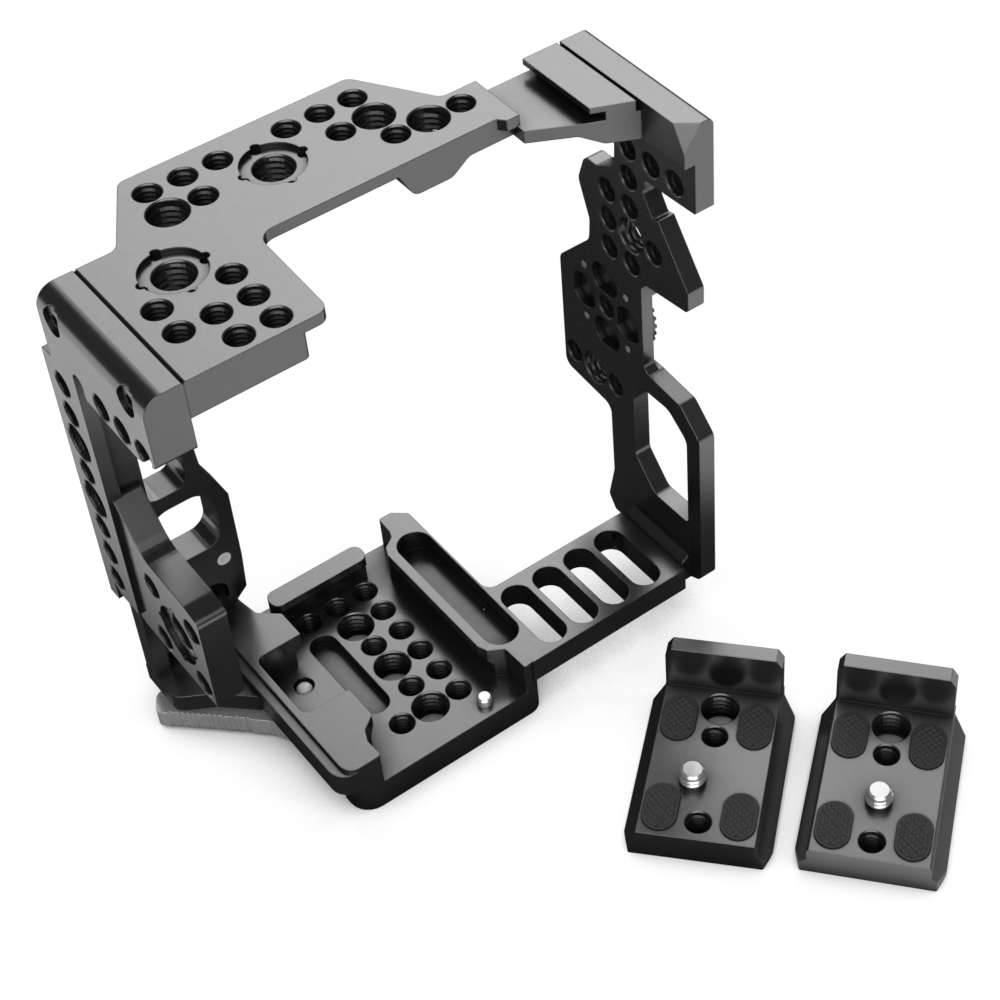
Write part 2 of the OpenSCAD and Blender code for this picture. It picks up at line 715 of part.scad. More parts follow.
module rosette() {
  // A disc with radial teeth on its outer face, left out beside the screws
  teeth = 36;
  color(black) at_rosette() difference() {
    union() {
      cylinder(r = rosette_r, h = rosette_t - tooth_h);
      for (k = [0:teeth - 1]) if (k % 9 != 4 && k % 9 != 5) rotate([0, 0, k * 360 / teeth])
        translate([tooth_in_r, -0.45, rosette_t - 2 * tooth_h]) cube([rosette_r - tooth_in_r - 0.2, 0.9, 2 * tooth_h]);
    }
    translate([0, 0, -1]) cylinder(r = quarter_r, h = rosette_t + 2);
    for (k = [0:3]) rotate([0, 0, 45 + 90 * k]) translate([rosette_screw_off, 0, 0]) {
      translate([0, 0, -1]) cylinder(r = 1 + screw_gap, h = rosette_t + 2, $fn = 24);
      translate([0, 0, rosette_head_z]) cylinder(r = 1.9 + screw_gap, h = 4, $fn = 24);
    }
  }
}

module rosette_screw(k) {
  color(silver) at_rosette() rotate([0, 0, 45 + 90 * k]) translate([rosette_screw_off, 0, rosette_head_z])
    cap_screw(1, rosette_head_z + rosette_x - right_in, 1.9, 1);
}

arm_screw_len = 8;
arm_head_r = screw_head_r - 0.2;
arm_screw_ys = [slotted_front + 5.3, slotted_back - 5.5];

module at_right_foot_screws(i) {
  translate([foot_seam - 1.4, arm_screw_ys[i], wall_top - slotted_t / 2]) facing_left() children();
}

// ---------- base plate ----------

slot_xs = [for (k = [0:3]) 35.2 + k * slot_pitch];
slot_y = slotted_front + slotted_w / 2 - 0.4;
floor_origin = [9, 27];

module base_plan() {
  outline([
    [-30.6, -base_front, 6], [base_right, -base_front, 4.5], [base_right, slotted_back, 0],
    [rib_out, slotted_back + 3, 0], [rib_out, 35.1, 1], [26.5, 38.6, 1], [15, 38.8, 0], [-20, 38.8, 2],
    [-24, flange_back, 1], [housing_left, flange_back, 0], [housing_left, 15, 2], [-30.6, 7, 1]
  ]);
}

module left_block_plan() {
  outline([
    [housing_left, flange_back, 0], [housing_left, -base_front, 5], [-22.6, -base_front, 1],
    [-22.9, -25, 2], [-21.5, -21.4, 2], [-half_rec - 0.3, -18.3, 1], [-half_rec - 0.3, -7.9, 0.5],
    [-half_rec, 16.9, 0.5], [-half_rec + 0.5, 25.5, 1], [-22.1, 30.7, 1], [-23.1, 37, 0.5], [-24, flange_back, 0]
  ]);
}

module rib_plan() {
  outline([
    [half_rec, -17, 1], [18, -19.8, 1], [mouth_x - 1, -22.2, 1.5], [mouth_x - 0.7, -base_front, 0.8],
    [base_right, -base_front, 4.5], [base_right, slotted_back, 0], [rib_out, slotted_back + 3, 0],
    [rib_out, 35.1, 1], [26.5, 38.4, 1], [22.5, 38.4, 0.5], [22.2, 32.5, 0.5], [21.4, 30.4, 1],
    [18, 28.2, 1.5], [half_rec, 25.4, 1]
  ]);
}

// The dovetail room between the receiver's walls, X and Z
module receiver_profile() {
  outline([
    [-half_rec, wall_top + 1, 0], [-half_rec, wall_top - 3.2, 0], [-half_rec - undercut, wall_top - 6, 0],
    [-half_rec - undercut, floor_t, 0], [half_rec + undercut, floor_t, 0],
    [half_rec + undercut, wall_top - 6, 0], [half_rec, wall_top - 3.2, 0], [half_rec, wall_top + 1, 0]
  ]);
}

// The sector that the lever sweeps as it opens, cut up from the underside
module lever_sweep() {
  clear = lever_hub_r + 0.6;
  at_pivot() along_z(-1, lever_room_top) {
    circle(r = clear);
    polygon([
      [clear, 0], [clear - 1.4, 11], [0.3, 19], [-2.5, 28], [-25, 60], [-60, 50], [-60, -34], [-13, -20],
      [-4, -6.5], [0, 0]
    ]);
  }
}

module base_plate() {
  color(black) difference() {
    union() {
      along_z(0, floor_t) base_plan();
      // The left block, standing over the base's edge
      along_z(block_bottom, wall_top) left_block_plan();
      intersection() {
        along_z(floor_t - 1, block_bottom + eps) left_block_plan();
        along_z(0, wall_top) base_plan();
      }
      along_z(floor_t - eps, wall_top) rib_plan();
      along_z(slotted_bottom, wall_top) outline([
        [mouth_x + 2, slotted_front, 0], [foot_seam, slotted_front, 0], [foot_seam, slotted_back, 0],
        [mouth_x + 2, slotted_back, 0]
      ]);
      // Fillet between the rib and the arm's back edge
      along_z(slotted_bottom, wall_top) difference() {
        translate([rib_out - 1, slotted_back - 1]) square([4.5, 4.5]);
        translate([rib_out + 3.5, slotted_back + 3.5]) circle(r = 3.5);
      }
    }
    along_y(-base_front - 5, 26) receiver_profile();
    // Rim along the left side, one step lower
    difference() {
      translate([housing_left - 1, -base_front - 1, wall_top - 1.2]) cube([8, base_front + flange_front - 8, 3]);
      along_z(wall_top - 2, wall_top + 3) outline([
        [block_left, -base_front, 4], [block_left + 12, -base_front, 0], [block_left + 12, flange_front, 0],
        [block_left, flange_front, 0]
      ]);
    }
    // Recess in the left wall down to the floor
    along_z(floor_t, wall_top + 1) outline([
      [-30.9, -7.5, 2.5], [-half_rec + 1, -7.5, 0], [-half_rec + 1, 16.7, 0], [-30.9, 16.7, 2.5]
    ]);
    // Long pocket in the rib
    translate([rib_pocket_x, 3.8, 0]) rotate([0, 0, 90]) along_z(wall_top - 6.5, wall_top + 1) obround(50, 10.1);
    // Blind pocket in the floor
    translate([-10.5, 5, 0]) rotate([0, 0, 90]) along_z(floor_t - 3.5, floor_t + 1) obround(32.7, 7.9);
    // Slots in the arm
    for (x = slot_xs) translate([x, slot_y, 0]) rotate([0, 0, 90]) along_z(slotted_bottom - 1, wall_top + 1)
      obround(slot_len, slot_w);
    // Floor threads
    translate([0, 0, floor_t]) {
      quarter_holes([
        [0, 0], [-1, 0], [-2, 0], [0, -1], [0, -2], [-1, -2], [0, -3], [0, -4], [-1, -4], [0, -5], [-2, -5]
      ], floor_origin, floor_t + 1);
      three_eighth_holes([[-1, -1], [-1, -3], [-1, -5]], floor_origin, floor_t + 1);
    }
    // The domed pin's blind bore and the wider mouth round its end
    translate([dome_x, dome_y, dome_bottom]) {
      cylinder(r = dome_pin_r + 0.05, h = floor_t);
      translate([0, 0, floor_t - dome_bottom - 2]) cylinder(r = dome_pin_r + 0.75, h = 3);
    }
    // Lever's room, cam's room and pivot thread
    lever_sweep();
    translate([pivot_x, pivot_y, 0]) {
      cylinder(r = cam_room_r, h = cam_top + lever_gap);
      cylinder(r = pivot_r + run_gap, h = wall_top - 1);
    }
    // Lock pin's guide bore and its spring's room
    translate([pin_x, pin_y, -1]) {
      cylinder(r = pin_r + run_gap, h = floor_t + 2);
      cylinder(r = pin_r + 1.5, h = floor_t - 1);
    }
    at_flange_screw() screw_room(screw_r, flange_screw_len + 0.4, screw_head_r, 1);
    at_left_foot_screw() screw_room(screw_r, foot_screw_len + 0.4, foot_head_r, 1);
    for (i = [0, 1]) {
      at_right_foot_screws(i) screw_room(screw_r, 7, arm_head_r, 5);
      at_stop_bar_screws(i) screw_room(bar_screw_r, bar_screw_len, bar_head_r, bar_head_h + 1);
    }
  }
}

// ---------- stop bar ----------

bar_left = -17.3;
bar_right = 12.5;
bar_front = 28.4;
bar_back = 34.6;

bar_foot = bar_front + 2.6;
bar_screw_r = 1.5;
bar_screw_len = 12;
bar_head_r = 2.6;
bar_head_h = 2.4;

// Half a pitch beside the floor threads, with the heads sunk in the underside
module at_stop_bar_screws(i) {
  translate([floor_origin[0] - (i == 0 ? 2.5 : 0.5) * hole_pitch, (bar_foot + bar_back) / 2, bar_head_h + 0.4])
    rotate([180, 0, 0]) children();
}

module stop_bar() {
  color(black) difference() {
    intersection() {
      along_z(floor_t, wall_top) outline([
        [bar_left, bar_front, 2.5], [bar_right, bar_front, 2.5], [bar_right, bar_back, 2.5],
        [bar_left, bar_back, 2.5]
      ]);
      along_x(bar_left - 1, bar_right + 1) outline([
        [bar_front, wall_top, 0], [bar_front, wall_top - 2.6, 0], [bar_foot, wall_top - 6, 0],
        [bar_foot, floor_t, 0], [bar_back, floor_t, 0], [bar_back, wall_top, 0]
      ]);
    }
    for (i = [0, 1]) at_stop_bar_screws(i) screw_room(bar_screw_r, bar_screw_len, bar_head_r, 1);
  }
}

module stop_bar_screw(i) {
  color(silver) at_stop_bar_screws(i) cap_screw(bar_screw_r, bar_screw_len, bar_head_r, bar_head_h);
}

// ---------- frame screws ----------

module top_left_screw(i) {
  color(silver) at_top_left_screws(i) cap_screw(screw_r, top_left_len, screw_head_r, screw_head_h);
}

module top_right_screw(i) {
  color(silver) at_top_right_screws(i) cap_screw(lap_screw_r, lap_screw_len, lap_head_r, lap_head_h);
}

module flange_screw() {
  color(silver) at_flange_screw() cap_screw(screw_r, flange_screw_len, screw_head_r, screw_head_h);
}

module flange_set_screw() {
  color(silver) at_set_screw() translate([0, 0, -set_screw_len]) difference() {
    cylinder(r = set_screw_r, h = set_screw_len);
    translate([0, 0, set_screw_len - 1.6]) cylinder(r = 1.1, h = 2, $fn = 6);
  }
}

// A fixed pin with a domed end, level with the receiver's floor
module dome_pin() {
  top = floor_t - dome_bottom;
  color(silver) translate([dome_x, dome_y, dome_bottom]) rotate_extrude() polygon([
    [0, 0], [dome_pin_r, 0], [dome_pin_r, top - 1.1], [dome_pin_r - 0.35, top - 0.5],
    [dome_pin_r - 0.9, top - 0.15], [0, top]
  ]);
}

module left_foot_screw() {
  color(silver) at_left_foot_screw() cap_screw(screw_r, foot_screw_len, foot_head_r, screw_head_h);
}

module right_foot_screw(i) {
  color(silver) at_right_foot_screws(i) cap_screw(screw_r, arm_screw_len, arm_head_r, screw_head_h);
}

// ---------- clamp lever ----------

lever_hub_r = 7;
lever_head_h = 2;
washer_t = 0.5;
pivot_head_r = 4;
elbow = [-10.4, 19.7];
lever_w = 8.3;

// Points of the lever's straight run, which leaves the elbow at 45 degrees
function run(along, across) = elbow + along * [-1, 1] / sqrt(2) + across * [1, 1] / sqrt(2);

lever_tip = lever_len - norm(elbow);

module lever_plan() {
  outline([
    [0.4 - lever_hub_r, 0, 0], [0.4 - lever_hub_r, 13, 6], [elbow[0], elbow[1], 6],
    [run(lever_tip, 0)[0], run(lever_tip, 0)[1], 2],
    [run(lever_tip + 2, lever_w)[0], run(lever_tip + 2, lever_w)[1], 3],
    [run(0, lever_w)[0], run(0, lever_w)[1], 5], [lever_hub_r - 3, 10, 6], [lever_hub_r - 0.4, 0, 0]
  ]);
}

module at_pivot() {
  translate([pivot_x, pivot_y, 0]) children();
}

module cam_lever() {
  color(silver) at_pivot() difference() {
    union() {
      along_z(lever_bottom, lever_top) lever_plan();
      translate([0, 0, lever_bottom]) cylinder(r = lever_hub_r, h = lever_t);
    }
    // Serrations along the tab's front edge
    for (k = [0:14]) translate(run(lever_tip - 4 - 1.5 * k, -0.1)) rotate([0, 0, 45])
      translate([-0.53, -0.53, lever_bottom - 1]) cube([1.06, 1.06, lever_t + 2]);
    translate([0, 0, -1]) cylinder(r = pivot_r + run_gap, h = lever_top + 2);
    translate([0, 0, -1]) cylinder(r = pivot_head_r + 0.3, h = lever_bottom + lever_head_h + washer_t + 1);
  }
}

module clamp_cam() {
  color(dark) at_pivot() difference() {
    translate([cam_throw, 0, lever_top]) cylinder(r = cam_r, h = cam_top - lever_top);
    cylinder(r = pivot_r + run_gap, h = cam_top + 1);
  }
}

module lever_pivot_screw() {
  color(silver) at_pivot() translate([0, 0, lever_bottom + lever_head_h]) rotate([180, 0, 0])
    cap_screw(pivot_r, wall_top - 1.2 - lever_bottom - lever_head_h, pivot_head_r, lever_head_h);
}

module lever_washer() {
  color(silver) at_pivot() translate([0, 0, lever_bottom + lever_head_h + 0.05]) difference() {
    cylinder(r = pivot_head_r, h = washer_t - 0.1);
    translate([0, 0, -1]) cylinder(r = pivot_r + run_gap, h = washer_t + 2);
  }
}

// ---------- lock pin ----------

module at_pin() {
  translate([pin_x, pin_y, 0]) children();
}

module lock_pin() {
  color(silver) at_pin() rotate_extrude() polygon([
    [0, pin_collar_z - 1.4], [1.2, pin_collar_z - 1.4], [1.2, pin_collar_z], [pin_room_r - 0.2, pin_collar_z],
    [pin_room_r - 0.2, pin_collar_z + 1.2], [pin_r, pin_collar_z + 1.2], [pin_r, floor_t + pin_up - 0.5],
    [pin_r - 0.5, floor_t + pin_up], [0, floor_t + pin_up]
  ]);
}

pin_plug_top = 1.4;
spring_turns = 2.5;
spring_wire = 0.2;
spring_r = pin_room_r - 0.25 - 2 * spring_wire;
SPRING_RINGS = 49;
SPRING_SIDES = 8;

function spring_point(i, j) =
  let (
    t = i / (SPRING_RINGS - 1),
    a = 360 * spring_turns * t,
    low = pin_plug_top + spring_wire + 0.05,
    high = pin_collar_z - spring_wire - 0.05,
    b = 360 * j / SPRING_SIDES,
    r = spring_r + spring_wire * cos(b)
  )
  [r * cos(a), r * sin(a), low + (high - low) * t + spring_wire * sin(b)];

module lock_pin_spring() {
  sides = SPRING_SIDES;
  rings = SPRING_RINGS;
  color(silver) at_pin() polyhedron(
    points = [for (i = [0:rings - 1], j = [0:sides - 1]) spring_point(i, j)],
    faces = concat(
      [[for (j = [0:sides - 1]) j]],
      [for (i = [0:rings - 2], j = [0:sides - 1]) each [
        [i * sides + j, (i + 1) * sides + j, (i + 1) * sides + (j + 1) % sides],
        [i * sides + j, (i + 1) * sides + (j + 1) % sides, i * sides + (j + 1) % sides]
      ]],
      [[for (j = [sides - 1:-1:0]) (rings - 1) * sides + j]]
    )
  );
}

module lock_pin_plug() {
  color(dark) at_pin() difference() {
    translate([0, 0, 0.3]) cylinder(r = pin_room_r - 0.02, h = pin_plug_top - 0.3);
    cylinder(r = 1.25, h = 0.9, $fn = 6);
  }
}

// ---------- quick-release plates ----------

// Each plate's own frame: X across, Y towards its stop wall, origin under the middle of its top face
plate_b_place = [74.7, front - plate_reach, -50.3];
plate_a_place = [44.8, plate_b_place[1] + 32.3, -48.4];
plate_a_stud_x = -3.4;
plate_b_stud_x = 0;
stud_y = -6;
qr_front = -(qr_len - qr_wall_t) / 2;
qr_back = qr_front + qr_len;
pad_x = 10;
pad_y_back = 13;
pad_y_front = -15.6;
pads = [[-pad_x, pad_y_back], [pad_x, pad_y_back], [-pad_x, pad_y_front], [pad_x, pad_y_front]];
stud_head_r = 5.5;
stud_head_h = 2.2;

module at_plate(place) {
  translate([place[0], place[1], 0]) rotate([0, 0, place[2]]) children();
}

module qr_profile() {
  half = qr_w / 2;
  neck = qr_top_w / 2;
  outline([
    [-half + 0.6, 0, 0], [half - 0.6, 0, 0], [half, 0.6, 0], [half, 1.8, 0], [neck, 1.8 + half - neck, 0],
    [neck, qr_t - 0.6, 0], [neck - 0.6, qr_t, 0], [-neck + 0.6, qr_t, 0], [-neck, qr_t - 0.6, 0],
    [-neck, 1.8 + half - neck, 0], [-half, 1.8, 0], [-half, 0.6, 0]
  ]);
}

module qr_plate(stud_x) {
  wall = qr_wall_w / 2;
  difference() {
    union() {
      intersection() {
        along_y(qr_front, qr_back) qr_profile();
        // Front corners cut back, and the sides drawn in at the stop wall
        along_z(-1, qr_t + 1) outline([
          [-17.2, qr_front, 0.5], [17.2, qr_front, 0.5], [qr_w / 2 + 0.5, qr_front + 6.5, 0],
          [qr_w / 2 + 0.5, qr_back - 5, 0], [wall, qr_back, 0.5], [-wall, qr_back, 0.5],
          [-qr_w / 2 - 0.5, qr_back - 5, 0], [-qr_w / 2 - 0.5, qr_front + 6.5, 0]
        ]);
      }
      // Stop wall with cut top corners
      along_y(qr_back - qr_wall_t, qr_back) outline([
        [-wall, qr_t - 2, 0], [wall, qr_t - 2, 0], [wall, qr_t + qr_wall_h - 2.6, 0],
        [wall - 1.6, qr_t + qr_wall_h, 0], [-wall + 1.6, qr_t + qr_wall_h, 0], [-wall, qr_t + qr_wall_h - 2.6, 0]
      ]);
    }
    translate([0, 17.8, qr_t]) thread_hole(three_eighth_r, qr_t + 1);
    translate([0, 8.6, qr_t]) thread_hole(quarter_r, qr_t + 1);
    translate([0, -18.8, qr_t]) thread_hole(quarter_r, qr_t + 1);
    // Camera screw's bore, with the room for its head and ring in the underside
    translate([stud_x, stud_y, -1]) {
      cylinder(r = stud_r + 0.1, h = qr_t + 2);
      cylinder(r = stud_head_r + 0.9, h = stud_head_h + 1.9);
    }
    for (p = pads) translate([p[0], p[1], 0]) rotate([0, 0, 90]) along_z(qr_t - pad_in, qr_t + 1)
      obround(pad_len + 0.2, pad_w + 0.2);
  }
}

module qr_pad(k) {
  translate([pads[k][0], pads[k][1], 0]) rotate([0, 0, 90]) along_z(qr_t - pad_in, qr_t + pad_up)
    obround(pad_len, pad_w);
}

// Camera screw: thread upwards, coin-slotted head in the plate's underside
module qr_screw(stud_x) {
  translate([stud_x, stud_y, 0.6]) difference() {
    union() {
      cylinder(r = stud_head_r, h = stud_head_h);
      cylinder(r = stud_r - 0.4, h = qr_t);
      translate([0, 0, qr_t - 0.3]) cylinder(r = stud_r, h = stud_up - 0.9);
      translate([0, 0, qr_t + stud_up - 1.2]) cylinder(r1 = stud_r, r2 = stud_r - 0.6, h = 0.6);
    }
    translate([-stud_head_r - 1, -0.7, -1]) cube([2 * stud_head_r + 2, 1.4, 2.1]);
    for (side = [-1, 1]) translate([0, side * 3.6, -1]) cylinder(r = 0.9, h = 2.2, $fn = 24);
  }
}

// Thin ring under the head that keeps the camera screw in its plate
module qr_ring(stud_x) {
  translate([stud_x, stud_y, 0.1]) difference() {
    cylinder(r = stud_head_r + 0.85, h = 0.4);
    translate([0, 0, -1]) cylinder(r = stud_head_r - 0.7, h = 2);
  }
}

module plate_a() { color(black) at_plate(plate_a_place) qr_plate(plate_a_stud_x); }
module plate_a_pad_1() { color(dark) at_plate(plate_a_place) qr_pad(0); }
module plate_a_pad_2() { color(dark) at_plate(plate_a_place) qr_pad(1); }
module plate_a_pad_3() { color(dark) at_plate(plate_a_place) qr_pad(2); }
module plate_a_pad_4() { color(dark) at_plate(plate_a_place) qr_pad(3); }
module plate_a_screw() { color(silver) at_plate(plate_a_place) qr_screw(plate_a_stud_x); }
module plate_a_ring() { color(silver) at_plate(plate_a_place) qr_ring(plate_a_stud_x); }
module plate_b() { color(black) at_plate(plate_b_place) qr_plate(plate_b_stud_x); }
module plate_b_pad_1() { color(dark) at_plate(plate_b_place) qr_pad(0); }
module plate_b_pad_2() { color(dark) at_plate(plate_b_place) qr_pad(1); }
module plate_b_pad_3() { color(dark) at_plate(plate_b_place) qr_pad(2); }
module plate_b_pad_4() { color(dark) at_plate(plate_b_place) qr_pad(3); }
module plate_b_screw() { color(silver) at_plate(plate_b_place) qr_screw(plate_b_stud_x); }
module plate_b_ring() { color(silver) at_plate(plate_b_place) qr_ring(plate_b_stud_x); }

top_plate();
left_frame();
right_frame();
base_plate();
top_left_screw(0);  // top_left_screw_front
top_left_screw(1);  // top_left_screw_back
top_right_screw(0);  // top_right_screw_front
top_right_screw(1);  // top_right_screw_back
flange_screw();
flange_set_screw();
left_foot_screw();
right_foot_screw(0);  // right_foot_screw_front
right_foot_screw(1);  // right_foot_screw_back
dome_pin();
rosette();
rosette_screw(0);  // rosette_screw_1
rosette_screw(1);  // rosette_screw_2
rosette_screw(2);  // rosette_screw_3
rosette_screw(3);  // rosette_screw_4
stop_bar();
stop_bar_screw(0);  // stop_bar_screw_left
stop_bar_screw(1);  // stop_bar_screw_right
cam_lever();
clamp_cam();
lever_pivot_screw();
lever_washer();
lock_pin();
lock_pin_spring();
lock_pin_plug();
plate_a();
plate_a_pad_1();
plate_a_pad_2();
plate_a_pad_3();
plate_a_pad_4();
plate_a_screw();
plate_a_ring();
plate_b();
plate_b_pad_1();
plate_b_pad_2();
plate_b_pad_3();
plate_b_pad_4();
plate_b_screw();
plate_b_ring();
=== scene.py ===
import json
import math
import bpy
import bmesh
from mathutils import Matrix, Vector


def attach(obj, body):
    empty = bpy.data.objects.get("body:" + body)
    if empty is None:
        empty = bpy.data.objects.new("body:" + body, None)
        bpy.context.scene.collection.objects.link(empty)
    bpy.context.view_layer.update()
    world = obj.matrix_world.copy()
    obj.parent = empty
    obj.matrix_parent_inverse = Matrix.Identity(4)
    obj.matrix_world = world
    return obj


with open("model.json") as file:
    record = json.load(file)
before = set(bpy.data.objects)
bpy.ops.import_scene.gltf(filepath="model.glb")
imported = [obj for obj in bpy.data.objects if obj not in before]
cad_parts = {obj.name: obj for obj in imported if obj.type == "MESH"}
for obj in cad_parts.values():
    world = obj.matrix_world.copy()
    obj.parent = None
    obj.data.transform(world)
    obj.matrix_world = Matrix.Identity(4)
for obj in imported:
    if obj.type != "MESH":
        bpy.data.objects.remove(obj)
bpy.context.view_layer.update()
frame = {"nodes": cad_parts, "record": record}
nodes = frame["nodes"]
record = frame["record"]
MM = 0.001

# ---------- camera ----------

RIGHT = Vector((0.78758, -0.61527, -0.03398))
DOWN = Vector((-0.45238, -0.53987, -0.70985))
FORWARD = Vector((0.41841, 0.57444, -0.70353))
EYE = Vector((-0.17926, -0.35538, 0.47337))
SENSOR_WIDTH = 36
LENS = 81.54
SHIFT_X = -0.1231
SHIFT_Y = -0.0462
CLIP_START, CLIP_END = 0.01, 20

cam_data = bpy.data.cameras.new("camera")
cam = bpy.data.objects.new("camera", cam_data)
bpy.context.scene.collection.objects.link(cam)
turn = Matrix((RIGHT, -DOWN, -FORWARD)).transposed().to_4x4()
cam.matrix_world = Matrix.Translation(EYE) @ turn
cam_data.sensor_width = SENSOR_WIDTH
cam_data.lens = LENS
cam_data.shift_x = SHIFT_X
cam_data.shift_y = SHIFT_Y
cam_data.clip_start = CLIP_START
cam_data.clip_end = CLIP_END
bpy.context.scene.camera = cam
bpy.context.scene.view_settings.view_transform = "Standard"

# ---------- node helpers ----------


def new_material(name):
    """An empty material: its node tree and its output node come with it."""
    m = bpy.data.materials.new(name)
    m.use_nodes = True
    t = m.node_tree
    t.nodes.clear()
    out = t.nodes.new("ShaderNodeOutputMaterial")
    return m, t, out


def noise(t, coord, scale, detail):
    """A noise texture's value."""
    n = t.nodes.new("ShaderNodeTexNoise")
    n.inputs["Scale"].default_value = scale
    n.inputs["Detail"].default_value = detail
    t.links.new(coord, n.inputs["Vector"])
    return n.outputs["Fac"]


def map_range(t, value, from_range, to_range, smooth=False):
    """The value carried over from one range to another, and held at its ends."""
    n = t.nodes.new("ShaderNodeMapRange")
    if smooth:
        n.interpolation_type = "SMOOTHSTEP"
    n.inputs["From Min"].default_value = from_range[0]
    n.inputs["From Max"].default_value = from_range[1]
    n.inputs["To Min"].default_value = to_range[0]
    n.inputs["To Max"].default_value = to_range[1]
    t.links.new(value, n.inputs["Value"])
    return n.outputs["Result"]


def colour_mix(t, fac, low, high):
    """A colour between low and high."""
    n = t.nodes.new("ShaderNodeMix")
    n.data_type = "RGBA"
    n.inputs["A"].default_value = (*low, 1)
    n.inputs["B"].default_value = (*high, 1)
    t.links.new(fac, n.inputs["Factor"])
    return n.outputs["Result"]


def math_node(t, operation, a, b):
    """Two values joined by one operation; b may also be a plain number."""
    n = t.nodes.new("ShaderNodeMath")
    n.operation = operation
    t.links.new(a, n.inputs[0])
    if isinstance(b, float):
        n.inputs[1].default_value = b
    else:
        t.links.new(b, n.inputs[1])
    return n.outputs["Value"]


def dot(t, vector, direction):
    """How far the vector goes along a direction."""
    n = t.nodes.new("ShaderNodeVectorMath")
    n.operation = "DOT_PRODUCT"
    n.inputs[1].default_value = direction
    t.links.new(vector, n.inputs[0])
    return n.outputs["Value"]


def openness(t, samples, distance):
    """1 where a surface lies open, and less where something stands over it."""
    n = t.nodes.new("ShaderNodeAmbientOcclusion")
    n.samples = samples
    n.inputs["Distance"].default_value = distance
    return n.outputs["AO"]


def bump(t, height, strength, distance):
    """A bump node for a height."""
    n = t.nodes.new("ShaderNodeBump")
    n.inputs["Strength"].default_value = strength
    n.inputs["Distance"].default_value = distance
    t.links.new(height, n.inputs["Height"])
    return n


def object_coord(t):
    """Object coordinates, which are the frame's own metres here."""
    return t.nodes.new("ShaderNodeTexCoord").outputs["Object"]


# ---------- materials ----------

NOISE_MIDDLE = (0.3, 0.7)     # the part of a noise's values that is used
SLOW_SCALE, MID_SCALE = 60.0, 700.0
BEVEL_SAMPLES = 4
GRAIN_DEPTH = 0.00005
PAINTED_SHADE_SAMPLES = 4
PAINTED_SHADE_REACH = 0.009
PAINTED_SHADE_DEEPEST_AT = 0.45              # openness at which the painted shade in holes and inside corners is deepest
PAINTED_SHADE_SPEC = 0.04            # share of the specular level that the painted shade leaves there


def metal(name, low, high, rough, rough_var, grain, grain_scale,
          edge=0.0003, spec=0.5, metallic=1.0, ior=1.5, open_at=0.95):
    """A metal with a fine blasted or machined grain, slow tone changes, softened edges and, when not metallic,
    painted shade in its holes and inside corners.
    """
    m, t, out = new_material(name)
    p = t.nodes.new("ShaderNodeBsdfPrincipled")
    p.inputs["Metallic"].default_value = metallic
    p.inputs["Specular IOR Level"].default_value = spec
    p.inputs["IOR"].default_value = ior
    if metallic == 0:
        # Painted shade: holes and inside corners of the black finish get a lower specular level, so they
        # mirror next to nothing
        shade_openness = openness(t, PAINTED_SHADE_SAMPLES, PAINTED_SHADE_REACH)
        painted_shade_sheen = map_range(t, shade_openness, (PAINTED_SHADE_DEEPEST_AT, open_at), (PAINTED_SHADE_SPEC * spec, spec))
        t.links.new(painted_shade_sheen, p.inputs["Specular IOR Level"])
    coord = object_coord(t)
    slow = map_range(t, noise(t, coord, SLOW_SCALE, 3.0), NOISE_MIDDLE, (0, 1))
    t.links.new(colour_mix(t, slow, low, high), p.inputs["Base Color"])
    mid = noise(t, coord, MID_SCALE, 3.0)
    t.links.new(map_range(t, mid, NOISE_MIDDLE, (rough - rough_var, rough + rough_var)), p.inputs["Roughness"])
    bevel = t.nodes.new("ShaderNodeBevel")
    bevel.samples = BEVEL_SAMPLES
    bevel.inputs["Radius"].default_value = edge
    fine = bump(t, noise(t, coord, grain_scale, 2.0), grain, GRAIN_DEPTH)
    t.links.new(bevel.outputs["Normal"], fine.inputs["Normal"])
    t.links.new(fine.outputs["Normal"], p.inputs["Normal"])
    t.links.new(p.outputs["BSDF"], out.inputs["Surface"])
    return m


def rubber(name):
    """Matt moulded rubber."""
    m, t, out = new_material(name)
    p = t.nodes.new("ShaderNodeBsdfPrincipled")
    n = noise(t, object_coord(t), 2500.0, 3.0)
    t.links.new(colour_mix(t, n, (0.022, 0.022, 0.022), (0.05, 0.05, 0.05)), p.inputs["Base Color"])
    t.links.new(map_range(t, n, NOISE_MIDDLE, (0.5, 0.7)), p.inputs["Roughness"])
    t.links.new(bump(t, n, 0.25, 0.0001).outputs["Normal"], p.inputs["Normal"])
    t.links.new(p.outputs["BSDF"], out.inputs["Surface"])
    return m


ANODISED = metal("black_anodised", (0.007, 0.007, 0.0075), (0.011, 0.011, 0.0115), 0.24, 0.02,
                 grain=0.08, grain_scale=9000.0, edge=0.0004, spec=0.9, metallic=0.0, ior=1.9)
# The threads' painted shade never fully lifts, as open_at lies above 1
THREAD = metal("thread_anodised", (0.006, 0.006, 0.0065), (0.010, 0.010, 0.0105), 0.22, 0.03,
               grain=0.05, grain_scale=9000.0, edge=0.0001, spec=0.6, metallic=0.0, ior=1.9, open_at=1.1)
SILVER = metal("silver_alloy", (0.74, 0.74, 0.75), (0.82, 0.82, 0.83), 0.24, 0.04,
               grain=0.12, grain_scale=5000.0, metallic=0.7)
STEEL = metal("bright_steel", (0.66, 0.66, 0.67), (0.74, 0.74, 0.75), 0.20, 0.03,
              grain=0.06, grain_scale=6000.0, edge=0.00015, metallic=0.75)
BLACK_STEEL = metal("black_steel", (0.008, 0.008, 0.0085), (0.012, 0.012, 0.0125), 0.28, 0.03,
                    grain=0.08, grain_scale=6000.0, edge=0.0002, spec=0.9, metallic=0.0, ior=1.7)
PIN = metal("blasted_steel", (0.88, 0.88, 0.88), (0.92, 0.92, 0.92), 0.5, 0.05,
            grain=0.1, grain_scale=6000.0, edge=0.0002, metallic=0.2)
RUBBER = rubber("rubber_pad")

